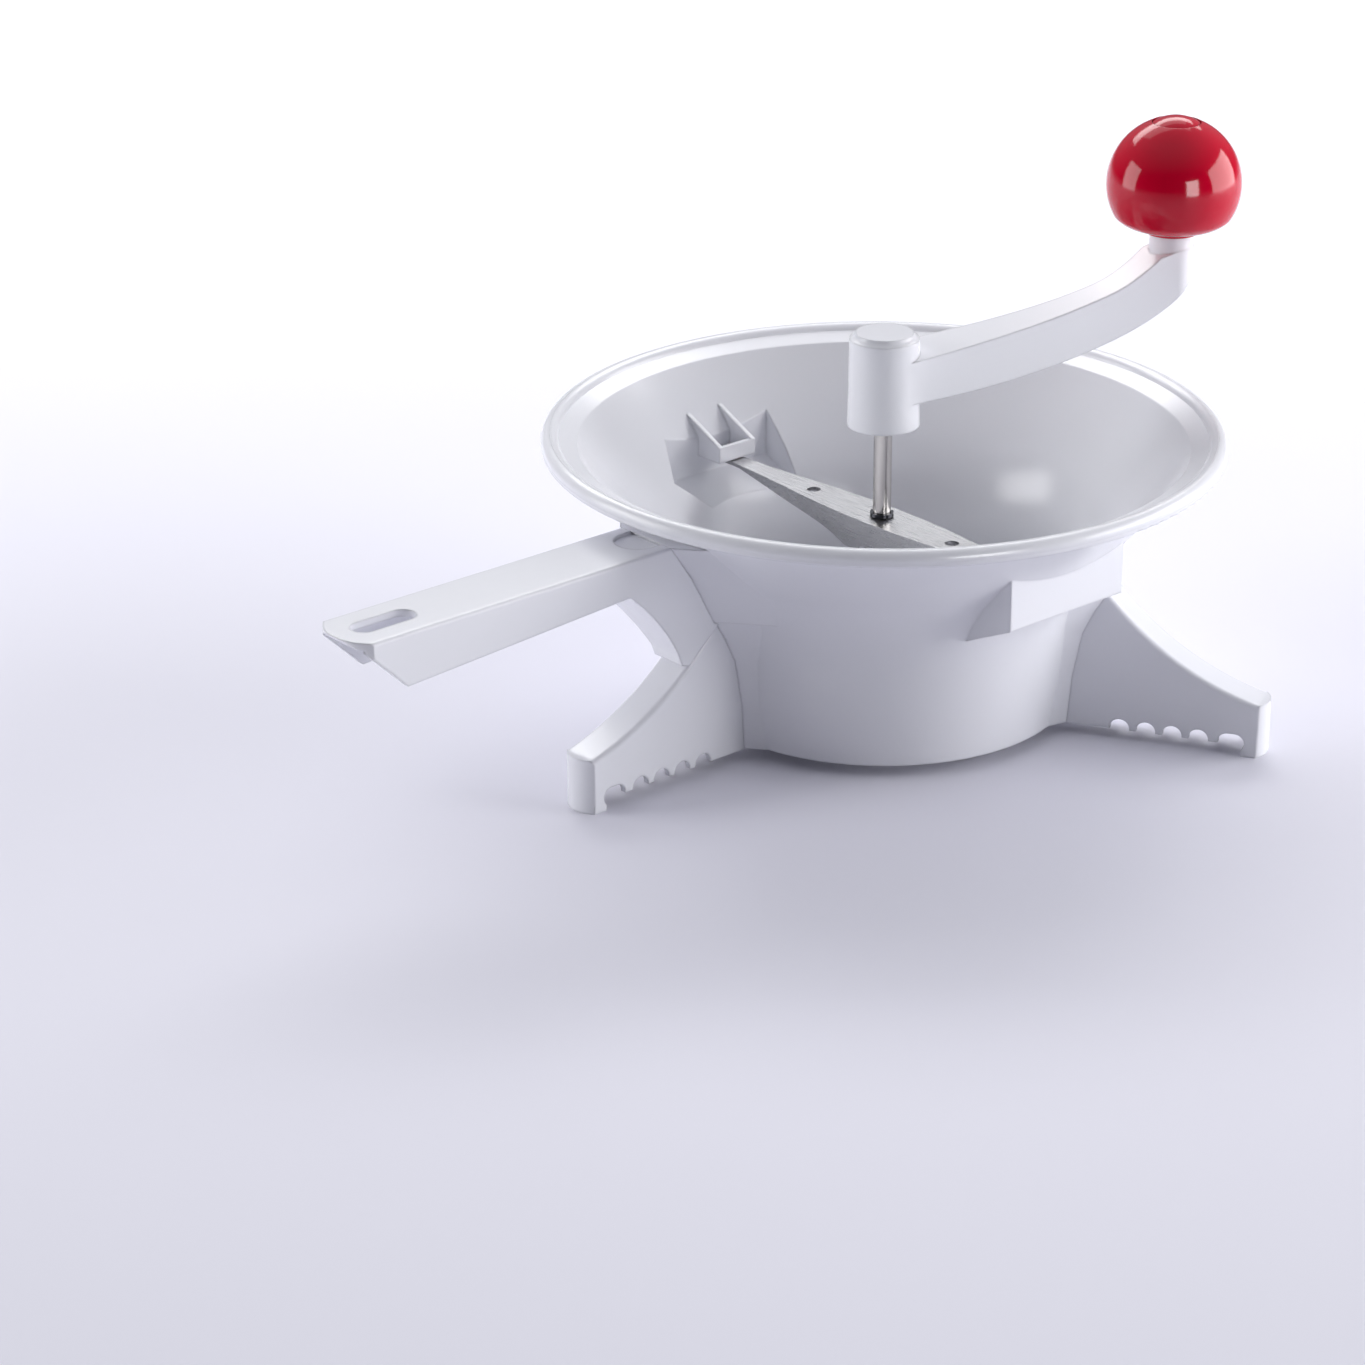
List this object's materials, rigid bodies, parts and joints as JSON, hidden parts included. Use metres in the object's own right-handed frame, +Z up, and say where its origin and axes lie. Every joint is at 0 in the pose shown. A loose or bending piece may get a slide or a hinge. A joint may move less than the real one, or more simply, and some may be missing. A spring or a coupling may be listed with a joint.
{
  "type": "hand-cranked food strainer",
  "caption": "Bell-mouthed plastic bowl on notched legs, with a spring-loaded steel crossbar and a ball-knobbed crank that turns a pitched blade over a sieve disc.",
  "frame": {"origin": "on the bowl's axis, in the plane of the leg tips", "axes": "+Z up along the bowl's axis; the handle lies along -X; the crossbar lies along Y"},
  "size_m": [0.3685, 0.2488, 0.2044],
  "materials": {
    "white_plastic": "satin moulded",
    "red_plastic": "high gloss",
    "bar_steel": "pressed and brushed",
    "shaft_steel": "polished",
    "dark_steel": "blackened",
    "spring_steel": "drawn wire",
    "disc_steel": "stamped sheet"
  },
  "bodies": {
    "frame": {"bowl": "white_plastic", "handle": "white_plastic", "leg_front": "white_plastic", "leg_right": "white_plastic", "leg_back": "white_plastic", "sieve_disc": "disc_steel"},
    "bar": {"crossbar": "bar_steel", "upper_washer": "shaft_steel", "shaft_spring": "spring_steel"},
    "crank": {"crank_shaft": "shaft_steel", "retaining_ring": "dark_steel", "lower_washer": "shaft_steel", "blade_boss": "disc_steel", "cross_pin": "shaft_steel", "masher_blade": "disc_steel", "blade_rivets": "disc_steel", "crank_arm": "white_plastic", "knob_screw": "shaft_steel", "knob_washer": "shaft_steel"},
    "knob": {"knob": "red_plastic", "knob_cap": "red_plastic"}
  },
  "joints": [
    {"name": "crank_turn", "type": "hinge", "parent": "frame", "child": "crank", "pos_m": [0, 0, 0], "axis": [0, 0, 1], "continuous": true},
    {"name": "knob_spin", "type": "hinge", "parent": "crank", "child": "knob", "pos_m": [0.10562, -0.03575, 0.18], "axis": [0, 0, 1], "continuous": true},
    {"name": "bar_press", "type": "slide", "parent": "frame", "child": "bar", "axis": [0, 0, -1], "range_m": [0, 0.004], "stiffness_N_per_m": 2000, "springref_m": -0.01, "deforming": ["shaft_spring"]}
  ]
}
